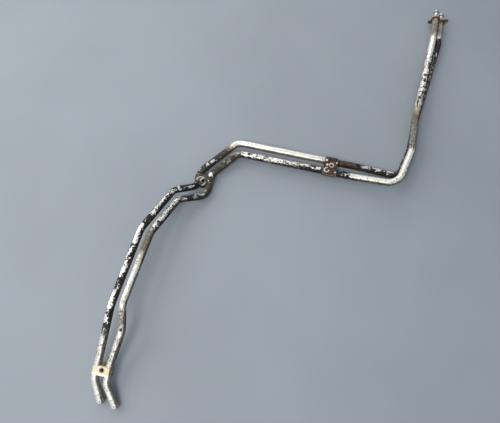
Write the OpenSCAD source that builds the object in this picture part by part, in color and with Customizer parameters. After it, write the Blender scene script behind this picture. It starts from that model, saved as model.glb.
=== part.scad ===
// Twin rigid coolant pipe: a feed and a return tube, bent to one route and held
// together by a hose-end clip, two brackets and a loose retaining flange.
// The run lies along X and both legs along Y. Z = 0 is the surface it lies on.

/* [Tubes] */
// Outside diameter of both pipes
tube_od = 16; // [14:0.5:18]
// Wall of both pipes
tube_wall = 1.5; // [1:0.1:2.2]
// Centreline radius of the tight bends
tight_bend = 26; // [22:1:28]
// Centreline radius of the bends beside the middle bracket
bracket_bend = 20; // [18:0.5:21]
// Centreline radius of the return pipe's elbow, outside the feed pipe's
elbow_bend = 36; // [32:1:40]
// Centreline radius of the gentle bends
gentle_bend = 60; // [45:1:70]
// Diameter of the sized ends that the hoses push onto
hose_end_od = 15.8; // [13.6:0.1:15.9]
// Distance from a hose end to its rolled stop bead
bead_setback = 22; // [18:1:28]
// Radius of the rolled stop bead's section
bead_r = 1.3; // [1:0.1:1.4]

/* [Route] */
// Straight run between the brackets, from its first corner to the elbow
run_length = 395; // [380:1:420]
// Leg from the run to the ends of the spigots
leg_length = 485.5; // [470:0.5:520]
// Height of the arch above the resting pipes
arch_rise = 52; // [40:1:60]
// Rise of the pipes through the hose clip, for each millimetre along it
clip_climb = 0.25; // [0.15:0.01:0.35]
// Clear height where the return pipe crosses over the feed pipe
cross_gap = 3; // [2:0.5:6]
// Gap between the tubes in the hose clip
hose_gap = 10; // [9.5:0.5:12]
// Gap between the tubes in the middle bracket
mid_gap = 11; // [9:0.5:12]
// Gap between the tubes along the run
run_gap = 11; // [10:0.5:14]

/* [Hose clip] */
// Length of the clip along the pipes
clip_length = 19; // [16:0.5:22]
// Width of the cover across the pipes
cover_width = 35; // [33:0.5:40]
// Height of the cover's underside above the tube axes
clip_seat = 3; // [2:0.5:4]
// Moulding above the tubes
cover_crown = 3; // [2:0.5:5]
// Bolt hole through the clip
clip_bolt_d = 8.4; // [6.4:0.1:8.6]
// Steel of the clip's base
clip_base_t = 1.5; // [1:0.1:2]
// Reach of the base's tongue beyond the cover
tongue_reach = 8; // [6:0.5:10]

/* [Brackets] */
// Length of the middle bracket's saddles along the pipes
mid_length = 13.5; // [12:0.5:13.5]
// Length of the flat between the middle bracket's saddles
mid_flat_length = 29; // [26:0.5:32]
// Width of that flat
mid_flat_width = 18; // [16:0.5:20]
// Length of the run bracket along the pipes
run_bracket_length = 29; // [28.5:0.5:34]
// How far round each tube's outer side the saddles reach from their crown
saddle_wrap = 55; // [45:1:60]
// Steel of the bracket plates and straps
bracket_t = 1.5; // [1.2:0.1:2]
// Nylon liner between each tube and a bracket
liner_t = 0.8; // [0.6:0.1:1.2]
// Length of liner that shows past each edge of a bracket
liner_lip = 1.5; // [1:0.5:2]
// Bore of the flared eyelets
eyelet_bore = 6.4; // [5.4:0.1:6.6]
// Wall of the flared eyelets
eyelet_wall = 1; // [0.8:0.1:1.1]
// Width of the eyelets' flared head
eyelet_head_d = 13; // [12:0.5:14]
// Shank of the two rivets in the run bracket
rivet_d = 3.2; // [2.8:0.1:3.4]

/* [Flange end] */
// Gap between the tubes at the flange
end_gap = 2.6; // [2.4:0.1:4]
// Tilt of the line through both tubes at the flange
end_tilt = 28; // [24:1:32]
// Thickness of the retaining flange
flange_t = 4; // [3:0.5:5]
// Distance between the flange's bolt holes
ear_spacing = 41; // [40:0.5:44]
// Tilt of the line through the flange's bolt holes
ear_tilt = 20; // [16:1:26]
// Bolt holes in the flange
ear_hole_d = 4.5; // [4.3:0.1:5.5]
// Length of a spigot beyond the flange
spigot_length = 26; // [24:1:30]
// Diameter of the spigots
spigot_od = 13; // [12:0.1:14]
// Section of the O-rings
o_ring_section = 2; // [1.6:0.1:2.2]

/* [Fits] */
// Gap round a tube in its liner, clip or bracket
fit = 0.1; // [0.05:0.05:0.15]
// Gap round a tube in the flange, which slides
slide_fit = 0.3; // [0.2:0.1:0.5]

/* [Hidden] */
$fn = 96;
cut = 0.5; // how far a cutting shape passes the face it cuts
bend_swell = 0.16; // a formed bend is a hair wider and thicker than the straight tube
lap = 0.05; // how far a straight reaches into the bend at its end

tube_r = tube_od / 2;
axis_height = tube_r + bend_swell / 2;     // from a route's lift to the tube's axis
hose_pitch = tube_od + hose_gap;
mid_pitch = tube_od + mid_gap;
run_pitch = tube_od + run_gap;
end_pitch = tube_od + end_gap;
saddle_r = tube_r + liner_t + 2 * fit;   // a tube's axis to the inside of its bracket

// Places that the two routes and the fittings share.
hose_x = -310;
hose_bend_y = -510;
hose_bend_lift = 16;
feed_climb_y = -361;                       // where each pipe's climb meets the arch
return_climb_y = -471;
mid_x = -211;
mid_y = -31.5;
mid_lift = saddle_r + bracket_t - axis_height; // the bracket's strap rests on the surface
run_x = -140;
run_y = 75.5;
run_lift = 8;
run_bracket_x = 89;
elbow_x = run_x + run_length;
run_dip = 109;                             // from the run's last bends to the elbow
feed_kink = [22, 158.5];                   // from the elbow to the bend in each leg
return_kink = [15.5, 148.5];
leg_x = elbow_x + 54;
end_lift = 3.5;
tip_y = run_y + leg_length;
collar_y = tip_y - spigot_length;
return_end_dx = -end_pitch * cos(end_tilt);
return_end_dz = end_pitch * sin(end_tilt);
over = tube_od + cross_gap;                // lift of the pipe that crosses over

// Fittings' own offsets from the middle of their two tubes.
cover_x = -1;
clip_bolt_at = [0.5, 2, 0];
mid_flat_y = -4.5;
mid_eyelet_at = [-1, -7, 0];
run_eyelet_y = 2;
rivet_head_d = 5.6;
rivet_offset = (eyelet_head_d + rivet_head_d) / 2 + 0.3;
sight_y = -7.5;
sight_ring_d = 12;
sight_hole_d = 4.5;

// Collars and sockets of the spigots.
collar_length = 8;
collar_r = (end_pitch - 1) / 2;
socket_depth = 6;
spigot_bore_r = 3.8;
groove_width = o_ring_section + 0.8;
groove_r = spigot_od / 2 - o_ring_section * 0.75;
groove_from_tip = 8;
spigot_chamfer = 1;
flange_rim = 2.6;
ear_rim = 2;

function climb_at(y) = hose_bend_lift + clip_climb * (y - hose_bend_y);

// Corners of each route: x, y, height of the tube's underside, bend radius.
feed_route = [
    [hose_x + 22, hose_bend_y - 44, 0, 0],
    [hose_x, hose_bend_y, hose_bend_lift, tight_bend],
    [hose_x, feed_climb_y, climb_at(feed_climb_y), gentle_bend],
    [-297, -188, arch_rise - 4, gentle_bend],
    [-257, -79, 22, tight_bend],
    [mid_x, mid_y - 20.5, mid_lift, bracket_bend],
    [mid_x, mid_y + 18.5, mid_lift, bracket_bend],
    [run_x, run_y, run_lift, tight_bend],
    [elbow_x - run_dip, run_y, run_lift, gentle_bend],
    [elbow_x, run_y, 1, tight_bend],
    [elbow_x + 18, run_y + 75.5, 0, gentle_bend],
    [elbow_x + feed_kink[0], run_y + feed_kink[1], 0, gentle_bend],
    [leg_x, tip_y - 100, end_lift, gentle_bend],
    [leg_x, collar_y + socket_depth - fit, end_lift, 0]
];
return_route = [
    [hose_x + 55, hose_bend_y - 47, 0, 0],
    [hose_x + hose_pitch, hose_bend_y - 5, climb_at(hose_bend_y - 5), tight_bend],
    [hose_x + hose_pitch, return_climb_y, climb_at(return_climb_y), gentle_bend],
    [-275, -405, arch_rise - 8, gentle_bend],
    [-288, -353, arch_rise, gentle_bend],
    [-274, -192, arch_rise - 4, gentle_bend],
    [-240, -98, 22, tight_bend],
    [mid_x + mid_pitch, mid_y - 39.5, mid_lift, tight_bend],
    [mid_x + mid_pitch, mid_y + 15.5, mid_lift, bracket_bend],
    [run_x + 7, run_y - run_pitch, run_lift, tight_bend],
    [elbow_x - run_dip + 4, run_y - run_pitch, run_lift, gentle_bend],
    [elbow_x - 5, run_y - run_pitch, over, elbow_bend],
    [elbow_x + 17, run_y + 65.5, over, gentle_bend],
    [elbow_x + return_kink[0], run_y + return_kink[1], over, gentle_bend],
    [leg_x + return_end_dx, tip_y - 90, end_lift + return_end_dz, gentle_bend],
    [leg_x + return_end_dx, collar_y + socket_depth - fit, end_lift + return_end_dz, 0]
];

// Geometry of a bent route.
function corner(route, i) = [route[i][0], route[i][1], route[i][2] + axis_height];
function unit(v) = v / norm(v);
function heading(route, i) = unit(corner(route, i + 1) - corner(route, i));
function is_bend(route, i) = i > 0 && i < len(route) - 1;
function bend_angle(route, i) = acos(heading(route, i - 1) * heading(route, i));
function setback(route, i) =
    is_bend(route, i) ? route[i][3] * tan(bend_angle(route, i) / 2) : 0;
function inward(route, i) = let(d = heading(route, i - 1), e = heading(route, i))
    unit(e - (e * d) * d);
function side_of(d) = unit(cross(d, [0, 0, 1]));

module tube_section(swell = 0) {
    difference() {
        circle(d = tube_od + swell);
        circle(d = tube_od - 2 * tube_wall - swell);
    }
}
module hose_end_section() {
    difference() {
        circle(d = hose_end_od);
        circle(d = hose_end_od - 2 * tube_wall);
    }
}

// A turn through angle from +Z towards +X, and the frame at its end.
module bend(radius, angle) {
    multmatrix([[-1, 0, 0, radius], [0, 0, 1, 0], [0, 1, 0, 0]])
        rotate_extrude(angle = angle) translate([radius, 0]) children();
}
module past_bend(radius, angle) {
    translate([radius, 0, 0]) rotate([0, angle, 0]) translate([-radius, 0, 0]) children();
}

// One stretch of a route along +Z, then its bend, then the rest of the route. The first
// begins at the bead. side is the direction that +X has in the part's own frame.
module stretch(route, i, side) {
    d = heading(route, i);
    length = norm(corner(route, i + 1) - corner(route, i))
        - setback(route, i) - setback(route, i + 1);
    from = is_bend(route, i) ? -lap : bead_setback;
    to = length + (is_bend(route, i + 1) ? lap : 0);
    translate([0, 0, from]) linear_extrude(to - from) tube_section();
    if (is_bend(route, i + 1)) {
        n = inward(route, i + 1);
        angle = bend_angle(route, i + 1);
        translate([0, 0, length]) rotate([0, 0, atan2(n * cross(d, side), n * side)]) {
            bend(route[i + 1][3], angle) tube_section(bend_swell);
            past_bend(route[i + 1][3], angle)
                stretch(route, i + 1, n * cos(angle) - d * sin(angle));
        }
    }
}

// Puts children at a route's first corner, with +Z along its first stretch.
module at_start(route) {
    d = heading(route, 0);
    x = side_of(d);
    y = cross(d, x);
    p = corner(route, 0);
    multmatrix([[x[0], y[0], d[0], p[0]], [x[1], y[1], d[1], p[1]], [x[2], y[2], d[2], p[2]]])
        children();
}

// A bent tube with its sized hose end and the rolled bead that stops the hose.
module bent_pipe(route) {
    at_start(route) {
        linear_extrude(bead_setback) hose_end_section();
        stretch(route, 0, side_of(heading(route, 0)));
        translate([0, 0, bead_setback])
            rotate_extrude() translate([tube_r + 0.1, 0]) circle(r = bead_r);
    }
}

// Frames of the fittings: +Y runs along the pipes and +X from feed to return.
module at_hose_clip() {
    y = hose_bend_y + 21;
    translate([hose_x + hose_pitch / 2, y, climb_at(y) + axis_height])
        rotate([atan(clip_climb), 0, 0]) children();
}
module at_mid_bracket() {
    translate([mid_x + mid_pitch / 2, mid_y, mid_lift + axis_height]) children();
}
module at_run_bracket() {
    translate([run_bracket_x, run_y - run_pitch / 2, run_lift + axis_height])
        rotate([0, 0, -90]) children();
}
// +Z leaves each spigot's tip, and the origin is on the flange's side of its collar.
module at_spigot(dx, dz) {
    translate([leg_x + dx, collar_y, end_lift + axis_height + dz]) rotate([-90, 0, 0]) children();
}

// Section of a pressing over both tubes: flat between their axes, then round each of
// them to its outer side. inner is its radius inside.
module saddle_outline(pitch, inner, t) {
    top = inner + t;
    difference() {
        union() {
            translate([-pitch / 2, 0]) square([pitch, top]);
            for (s = [-1, 1]) translate([s * pitch / 2, 0]) circle(r = top);
        }
        translate([-pitch / 2, -cut]) square([pitch, inner + cut]);
        for (s = [-1, 1]) translate([s * pitch / 2, 0]) circle(r = inner);
        translate([-pitch, -top - cut]) square([2 * pitch, top + cut + top * cos(saddle_wrap)]);
    }
}
module saddles(pitch, length, inner, t) {
    rotate([90, 0, 0]) linear_extrude(length, center = true) saddle_outline(pitch, inner, t);
}
module eyelet_hole() {
    cylinder(r = eyelet_bore / 2 + eyelet_wall + fit, h = saddle_r + bracket_t + cut);
}

// A rectangle with round corners, centred.
module rounded_plan(width, length, corner_r) {
    for (turn = [0, 1])
        square([width - 2 * corner_r * turn, length - 2 * corner_r * (1 - turn)], center = true);
    for (sx = [-1, 1], sy = [-1, 1])
        translate([sx * (width / 2 - corner_r), sy * (length / 2 - corner_r)]) circle(r = corner_r);
}

// A C-shaped nylon liner whose open side faces the other tube.
module liner(length, facing) {
    rotate([90, 0, 0]) linear_extrude(length + 2 * liner_lip, center = true) difference() {
        circle(r = tube_r + fit + liner_t);
        circle(r = tube_r + fit);
        translate([facing * tube_r, 0]) square([tube_od, tube_od * 0.7], center = true);
    }
}

// A tubular rivet with a wide flared head on the plate.
module eyelet() {
    reach = saddle_r + bracket_t;
    barrel_r = eyelet_bore / 2 + eyelet_wall;
    rotate_extrude() difference() {
        union() {
            translate([0, fit - reach]) square([barrel_r, 2 * reach]);
            translate([0, reach + fit / 2]) square([eyelet_head_d / 2, 1.2]);
        }
        translate([0, -reach - cut]) square([eyelet_bore / 2, 2 * reach + 3]);
    }
}

module rivet() {
    reach = saddle_r + bracket_t + fit / 2;
    cylinder(d = rivet_d, h = 2 * reach, center = true);
    for (s = [0, 1])
        mirror([0, 0, s]) translate([0, 0, reach]) cylinder(d1 = rivet_head_d, d2 = rivet_d, h = 1.2);
}

module spigot() {
    r = spigot_od / 2;
    rotate_extrude() difference() {
        union() {
            square([collar_r, collar_length]);
            square([r, spigot_length - spigot_chamfer]);
            square([r - spigot_chamfer, spigot_length]);
        }
        translate([0, -cut]) square([tube_r + fit / 2, socket_depth + cut]);
        translate([0, -cut]) square([spigot_bore_r, spigot_length + 2 * cut]);
        translate([groove_r, spigot_length - groove_from_tip - groove_width / 2])
            square([r, groove_width]);
    }
}

module o_ring() {
    translate([0, 0, spigot_length - groove_from_tip])
        rotate_extrude() translate([groove_r + o_ring_section / 2 + 0.02, 0])
            circle(d = o_ring_section, $fn = 48);
}

// Outline of the flange in its own X and Z, about the middle of the two tubes: a ring
// round each tube, and a bar through both with an ear on each end.
module flange_outline() {
    ear_r = ear_hole_d / 2 + ear_rim;
    for (s = [-1, 1]) {
        rotate(-end_tilt) translate([s * end_pitch / 2, 0])
            circle(r = tube_r + slide_fit + flange_rim);
        rotate(ear_tilt) translate([s * ear_spacing / 2, 0]) circle(r = ear_r);
    }
    rotate(ear_tilt) square([ear_spacing, 2 * ear_r], center = true);
}

module feed_pipe() { color("#c9cbcc") bent_pipe(feed_route); }
module return_pipe() { color("#d6d7d4") bent_pipe(return_route); }
module feed_spigot() { color("#dcdddb") at_spigot(0, 0) spigot(); }
module return_spigot() { color("#dcdddb") at_spigot(return_end_dx, return_end_dz) spigot(); }
module feed_o_ring() { color("#1b1b1c") at_spigot(0, 0) o_ring(); }
module return_o_ring() { color("#1b1b1c") at_spigot(return_end_dx, return_end_dz) o_ring(); }

module end_flange() {
    color("#4d3426")
        translate([leg_x + return_end_dx / 2, collar_y - 2 * fit,
            end_lift + axis_height + return_end_dz / 2])
            rotate([90, 0, 0]) difference() {
                linear_extrude(flange_t) flange_outline();
                for (s = [-1, 1]) {
                    rotate(-end_tilt) translate([s * end_pitch / 2, 0, -cut])
                        cylinder(r = tube_r + slide_fit, h = flange_t + 2 * cut);
                    rotate(ear_tilt) translate([s * ear_spacing / 2, 0, -cut])
                        cylinder(d = ear_hole_d, h = flange_t + 2 * cut);
                }
            }
}

module hose_clip_cover() {
    color("#e6dcba") at_hose_clip() difference() {
        translate([cover_x, 0, clip_seat]) linear_extrude(tube_r + cover_crown - clip_seat)
            rounded_plan(cover_width, clip_length, 2);
        for (s = [-1, 1])
            translate([s * hose_pitch / 2, 0, 0]) rotate([90, 0, 0])
                cylinder(r = tube_r + fit, h = clip_length + 2 * cut, center = true);
        translate(clip_bolt_at) cylinder(d = clip_bolt_d, h = tube_od);
    }
}

module hose_clip_base() {
    floor_z = -(tube_r + fit + clip_base_t);
    tongue_y = clip_length / 2 + 2 * fit;
    tongue_w = hose_gap - 2;
    color("#6d533b") at_hose_clip() {
        difference() {
            mirror([0, 0, 1]) saddles(hose_pitch, clip_length, tube_r + fit, clip_base_t);
            translate([0, 0, floor_z - cut]) translate(clip_bolt_at)
                cylinder(d = clip_bolt_d, h = clip_base_t + 2 * cut);
        }
        translate([-tongue_w / 2, tongue_y - 2, floor_z])
            cube([tongue_w, clip_base_t + 2, clip_base_t]);
        translate([-tongue_w / 2, tongue_y, floor_z])
            cube([tongue_w, clip_base_t, clip_seat - floor_z]);
        translate([-tongue_w / 2, tongue_y, clip_seat])
            cube([tongue_w, tongue_reach, clip_base_t]);
    }
}

// One pressing of the middle bracket, with a long flat between its two short saddles.
module mid_pressing() {
    difference() {
        union() {
            saddles(mid_pitch, mid_length, saddle_r, bracket_t);
            translate([mid_eyelet_at[0] / 2, mid_flat_y, saddle_r]) linear_extrude(bracket_t)
                rounded_plan(mid_flat_width, mid_flat_length, 5);
        }
        translate(mid_eyelet_at) eyelet_hole();
    }
}
module mid_bracket_plate() { color("#3f3833") at_mid_bracket() mid_pressing(); }
module mid_bracket_strap() { color("#4a4039") at_mid_bracket() mirror([0, 0, 1]) mid_pressing(); }
module mid_liner_feed() {
    color("#cfc4b6") at_mid_bracket() translate([-mid_pitch / 2, 0, 0]) liner(mid_length, 1);
}
module mid_liner_return() {
    color("#cfc4b6") at_mid_bracket() translate([mid_pitch / 2, 0, 0]) liner(mid_length, -1);
}
module mid_eyelet() { color("#b7ada0") at_mid_bracket() translate(mid_eyelet_at) eyelet(); }

module run_pressing() {
    difference() {
        saddles(run_pitch, run_bracket_length, saddle_r, bracket_t);
        translate([0, run_eyelet_y, 0]) {
            eyelet_hole();
            for (s = [-1, 1]) translate([0, s * rivet_offset, 0])
                cylinder(d = rivet_d + 2 * fit, h = saddle_r + bracket_t + cut);
        }
    }
}

// The run bracket's plate also has a raised ring with a sight hole over the return pipe.
module run_bracket_plate() {
    ring = [run_pitch / 2, sight_y, 0];
    top = saddle_r + bracket_t;
    color("#5a4033") at_run_bracket() difference() {
        union() {
            run_pressing();
            translate(ring) cylinder(d = sight_ring_d, h = top + 0.8);
        }
        translate([run_pitch / 2, 0, 0]) rotate([90, 0, 0])
            cylinder(r = saddle_r, h = run_bracket_length + 2 * cut, center = true);
        translate(ring) cylinder(d = sight_hole_d, h = top + 2);
    }
}
module run_bracket_strap() {
    color("#5f483b") at_run_bracket() mirror([0, 0, 1]) run_pressing();
}
module run_liner_feed() {
    color("#cdbfb1") at_run_bracket() translate([-run_pitch / 2, 0, 0])
        liner(run_bracket_length, 1);
}
module run_liner_return() {
    color("#cdbfb1") at_run_bracket() translate([run_pitch / 2, 0, 0])
        liner(run_bracket_length, -1);
}
module run_eyelet() {
    color("#c2b2a3") at_run_bracket() translate([0, run_eyelet_y, 0]) eyelet();
}
module run_rivets() {
    color("#6e5546") at_run_bracket() translate([0, run_eyelet_y, 0])
        for (s = [-1, 1]) translate([0, s * rivet_offset, 0]) rivet();
}

feed_pipe();
return_pipe();
feed_spigot();
return_spigot();
feed_o_ring();
return_o_ring();
end_flange();
hose_clip_cover();
hose_clip_base();
mid_bracket_plate();
mid_bracket_strap();
mid_liner_feed();
mid_liner_return();
mid_eyelet();
run_bracket_plate();
run_bracket_strap();
run_liner_feed();
run_liner_return();
run_eyelet();
run_rivets();
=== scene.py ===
import bmesh
import bpy
import numpy as np
from mathutils import Matrix, Vector


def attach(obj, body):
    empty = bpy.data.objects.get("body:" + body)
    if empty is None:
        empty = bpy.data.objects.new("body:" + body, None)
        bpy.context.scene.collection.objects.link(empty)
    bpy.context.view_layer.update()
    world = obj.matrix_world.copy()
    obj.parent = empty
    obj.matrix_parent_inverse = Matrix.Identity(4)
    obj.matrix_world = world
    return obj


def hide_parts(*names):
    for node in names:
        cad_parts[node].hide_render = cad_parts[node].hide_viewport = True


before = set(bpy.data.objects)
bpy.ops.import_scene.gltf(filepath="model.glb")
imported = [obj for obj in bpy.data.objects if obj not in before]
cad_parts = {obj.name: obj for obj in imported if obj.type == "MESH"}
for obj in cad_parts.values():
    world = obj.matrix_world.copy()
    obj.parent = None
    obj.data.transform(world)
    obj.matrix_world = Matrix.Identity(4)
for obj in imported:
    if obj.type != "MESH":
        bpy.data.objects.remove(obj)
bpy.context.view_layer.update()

scene = bpy.context.scene
scene.view_settings.view_transform = "Standard"

# Camera, floor and light. The assembly lies on a pale floor and is looked down on from above its
# arch, 16 degrees off vertical and turned a little to the right. Soft light falls in from windows
# on the left and beyond the arch and from above, so the tubes are dark on their right sides, where
# their finish adds painted shade as well.
image_width = 500
focal_pixels = 430
eye = Vector((-0.015, -0.356, 0.975))
eye_right = Vector((0.9767, 0.2147, 0.0)).normalized()
eye_up = Vector((-0.2064, 0.9389, 0.2756)).normalized()


def aim(thing, place, right, up):
    """Stands a camera or a light at place, with its own +X and +Y along right and up."""
    back = right.cross(up)
    turn = Matrix((right, up, back)).transposed().to_4x4()
    thing.matrix_world = Matrix.Translation(place) @ turn


camera = bpy.data.objects.new("camera", bpy.data.cameras.new("camera"))
scene.collection.objects.link(camera)
camera.data.lens = camera.data.sensor_width * focal_pixels / image_width
camera.data.clip_start = 0.01
camera.data.clip_end = 50
aim(camera, eye, eye_right, eye_up)
scene.camera = camera


def soft_light(name, place, target, width, watts, colour):
    """A square area light at place, facing target, width metres across and watts strong."""
    lamp = bpy.data.objects.new(name, bpy.data.lights.new(name, "AREA"))
    scene.collection.objects.link(lamp)
    lamp.data.shape = "SQUARE"
    lamp.data.size = width
    lamp.data.energy = watts
    lamp.data.color = colour
    ahead = (Vector(target) - Vector(place)).normalized()
    right = ahead.cross(Vector((0, 0, 1))).normalized()
    aim(lamp, Vector(place), right, right.cross(ahead))


daylight, roof_daylight = (1.0, 0.99, 0.965), (1.0, 0.99, 0.98)
soft_light("window_light", (-2.4, 0.1, 1.6), (0, 0, 0), 1.9, 46, daylight)
soft_light("far_window_light", (-0.9, 2.4, 1.5), (0, 0, 0), 1.7, 30, daylight)
soft_light("roof_window_light", (-0.7, -1.35, 2.6), (-0.1, -0.2, 0), 1.4, 46, roof_daylight)
world = bpy.data.worlds.new("room")
scene.world = world
world.use_nodes = True
room_light = world.node_tree.nodes["Background"]
room_light.inputs["Color"].default_value = (0.80, 0.87, 1.0, 1)
room_light.inputs["Strength"].default_value = 0.46


class Wire:
    """An output of a material's node, with arithmetic that adds Math nodes."""

    def __init__(self, finish, socket):
        self.finish = finish
        self.socket = socket

    def math(self, operation, *others):
        inputs = dict(enumerate((self, *others)))
        return self.finish.node("ShaderNodeMath", {"operation": operation}, inputs)

    def __add__(self, other):
        return self.math("ADD", other)

    def __sub__(self, other):
        return self.math("SUBTRACT", other)

    def __rsub__(self, other):
        return (self * -1) + other

    def __mul__(self, other):
        return self.math("MULTIPLY", other)

    __radd__ = __add__
    __rmul__ = __mul__

    def step(self, low, high):
        """0 below low and 1 above high, with a smooth climb between."""
        settings = {"interpolation_type": "SMOOTHSTEP"}
        ends = {"Value": self, "From Min": low, "From Max": high}
        return self.finish.node("ShaderNodeMapRange", settings, ends)


class Finish:
    """A material that is built up from nodes."""

    def __init__(self, name):
        self.material = bpy.data.materials.new(name)
        self.material.use_nodes = True
        self.tree = self.material.node_tree
        self.tree.nodes.clear()

    def node(self, kind, settings=None, inputs=None, output=0):
        """Adds a node, sets it up, and gives one of its outputs, if it has any."""
        made = self.tree.nodes.new(kind)
        for key, value in (settings or {}).items():
            setattr(made, key, value)
        for key, value in (inputs or {}).items():
            if isinstance(value, Wire):
                self.tree.links.new(value.socket, made.inputs[key])
            else:
                made.inputs[key].default_value = value
        return Wire(self, made.outputs[output]) if made.outputs else None

    def attribute(self, name, output="Fac"):
        return self.node("ShaderNodeAttribute", {"attribute_name": name}, output=output)

    def place(self):
        return self.node("ShaderNodeTexCoord", output="Object")

    def stretched(self, vector, scale):
        """The vector with each of its parts times that of scale."""
        return self.node("ShaderNodeMapping", None, {"Vector": vector, "Scale": scale})

    def noise(self, vector, scale, detail=4.0, roughness=0.55, distortion=0.0):
        inputs = {"Vector": vector, "Scale": scale, "Detail": detail,
                  "Roughness": roughness, "Distortion": distortion}
        return self.node("ShaderNodeTexNoise", None, inputs)

    def blend(self, amount, colour_a, colour_b):
        """Colour a where amount is 0 and colour b where it is 1."""
        inputs = {"Factor": amount, 6: colour_a, 7: colour_b}
        return self.node("ShaderNodeMix", {"data_type": "RGBA"}, inputs, output=2)

    def near(self, vector, centre, reach, soft):
        """1 within reach of a point, in metres, falling to 0 over soft."""
        away = self.node("ShaderNodeVectorMath", {"operation": "DISTANCE"},
                         {0: vector, 1: centre}, output="Value")
        return 1 - away.step(reach - soft / 2, reach + soft / 2)

    def done(self, colour, roughness, metallic=0.0, height=None, depth=0.001, **fixed):
        """Ends in a Principled shader. height is a bump, 1 of it being depth metres."""
        inputs = {"Base Color": colour, "Roughness": roughness, "Metallic": metallic, **fixed}
        if height is not None:
            bump = {"Height": height, "Distance": depth, "Strength": 1.0}
            inputs["Normal"] = self.node("ShaderNodeBump", None, bump)
        shader = self.node("ShaderNodeBsdfPrincipled", None, inputs)
        self.node("ShaderNodeOutputMaterial", None, {"Surface": shader})
        return self.material


def rgb(red, green, blue):
    """A colour from how it looks, 0 to 255, to the linear light that shaders use."""
    share = np.array([red, green, blue]) / 255
    linear = np.where(share <= 0.04045, share / 12.92, ((share + 0.055) / 1.055) ** 2.4)
    return (*linear.tolist(), 1.0)


floor_grey, floor_pale_grey = rgb(133, 139, 145), rgb(140, 146, 152)


def painted_floor():
    """Pale grey paint, in slow clouds, with a fine grain."""
    finish = Finish("painted_floor")
    at = finish.place()
    cloud = finish.noise(at, 2.2, detail=3)
    grain = finish.noise(at, 900, detail=2)
    colour = finish.blend(cloud.step(0.3, 0.7), floor_grey, floor_pale_grey)
    return finish.done(colour, 0.62 + cloud * 0.1, height=grain, depth=0.00008)


floor_half = 30.0
floor_mesh = bpy.data.meshes.new("floor")
floor_signs = ((-1, -1), (1, -1), (1, 1), (-1, 1))
floor_corners = [(x * floor_half, y * floor_half, 0) for x, y in floor_signs]
floor_mesh.from_pydata(floor_corners, [], [(0, 1, 2, 3)])
floor_mesh.materials.append(painted_floor())
floor = bpy.data.objects.new("floor", floor_mesh)
scene.collection.objects.link(floor)

# The two tubes: 16 mm aluminium, bent cold on a tube bender, then painted black. Years under a car
# have flaked the paint off their upper sides and left grime, white corrosion and stains. Each is a
# round section carried along its centreline, a little flattened and wrinkled where it is bent.
mm = 0.001
tube_r = 8.0
tube_wall = 1.5
hose_end_r = 7.9
axis_height = tube_r + 0.08
lip_r, lip_steps = 0.5, 5
points_around = 64
rows_per_bore_row = 5
bead_setback, bead_r = 22.0, 1.4
tip_bead_setback, tip_bead_r = 4.6, 0.7

# The centrelines' corners: x, y, lift off the floor and bend radius, mm, from the hose ends up.
feed_corners = [
    (-288, -554, 0, 0), (-310, -510, 16, 26), (-310, -361, 53.25, 60), (-297, -188, 48, 60),
    (-257, -79, 22, 26), (-211, -52, 2.42, 20), (-211, -13, 2.42, 20), (-140, 75.5, 8, 26),
    (146, 75.5, 8, 60), (255, 75.5, 1, 26), (273, 151, 0, 60), (277, 234, 0, 60),
    (309, 461, 3.5, 60), (309, 540.9, 3.5, 0),
]
return_corners = [
    (-255, -557, 0, 0), (-284, -515, 14.75, 26), (-284, -471, 25.75, 60), (-275, -405, 44, 60),
    (-288, -353, 52, 60), (-274, -192, 48, 60), (-240, -98, 22, 26), (-184, -71, 2.42, 26),
    (-184, -16, 2.42, 20), (-133, 48.5, 8, 26), (150, 48.5, 8, 60), (250, 48.5, 19, 36),
    (272, 141, 19, 60), (270.5, 224, 19, 60), (292.58, 471, 12.23, 60), (292.58, 540.9, 12.23, 0),
]


def unit(vectors):
    """Each vector over its own length."""
    return vectors / np.linalg.norm(vectors, axis=-1, keepdims=True)


def bent_centreline(corners, step=1.6):
    """Points about step mm apart along the straights and arcs that join corners (x, y, lift, R).

    A corner turning by angle t begins R tan(t/2) before it. With T the way in and N the
    way in to the arc's centre C, its points are C + R (T sin a - N cos a), a from 0 to t.
    """
    places = np.array([(x, y, lift + axis_height) for x, y, lift, _ in corners], float)
    parts = [places[:1]]
    last = places[0]
    legs = zip(places, places[1:], places[2:])
    for (before, here, after), (*_, radius) in zip(legs, corners[1:]):
        way_in, way_out = unit(here - before), unit(after - here)
        turn = np.arccos(way_in @ way_out)
        begin = here - way_in * radius * np.tan(turn / 2)
        to_centre = unit(way_out - (way_out @ way_in) * way_in)
        count = max(2, int(np.linalg.norm(begin - last) / step))
        parts.append(last + (begin - last) * np.linspace(0, 1, count + 1)[1:, None])
        angle = np.linspace(0, turn, max(3, int(radius * turn / step)))[1:, None]
        centre = begin + to_centre * radius
        parts.append(centre + radius * (way_in * np.sin(angle) - to_centre * np.cos(angle)))
        last = parts[-1][-1]
    count = int(np.linalg.norm(places[-1] - last) / step)
    parts.append(last + (places[-1] - last) * np.linspace(0, 1, count + 1)[1:, None])
    return np.concatenate(parts)


def along_line(line, averaged=9):
    """Each point's distance and way, the side and up square to it, and how the line bends.

    side = way x Z, which is right of the way, and up = side x way. The bend is the way's change
    per mm, smoothed over a few points, and points to its inside.
    """
    distance = np.r_[0, np.cumsum(np.linalg.norm(np.diff(line, axis=0), axis=1))]
    way = unit(np.gradient(line, distance, axis=0))
    side = unit(np.cross(way, (0, 0, 1)))
    up = np.cross(side, way)
    window = np.hanning(averaged) / np.hanning(averaged).sum()
    bend = np.gradient(way, distance, axis=0)
    bend = np.stack([np.convolve(part, window, "same") for part in bend.T], -1)
    return distance, way, side, up, bend


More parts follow.
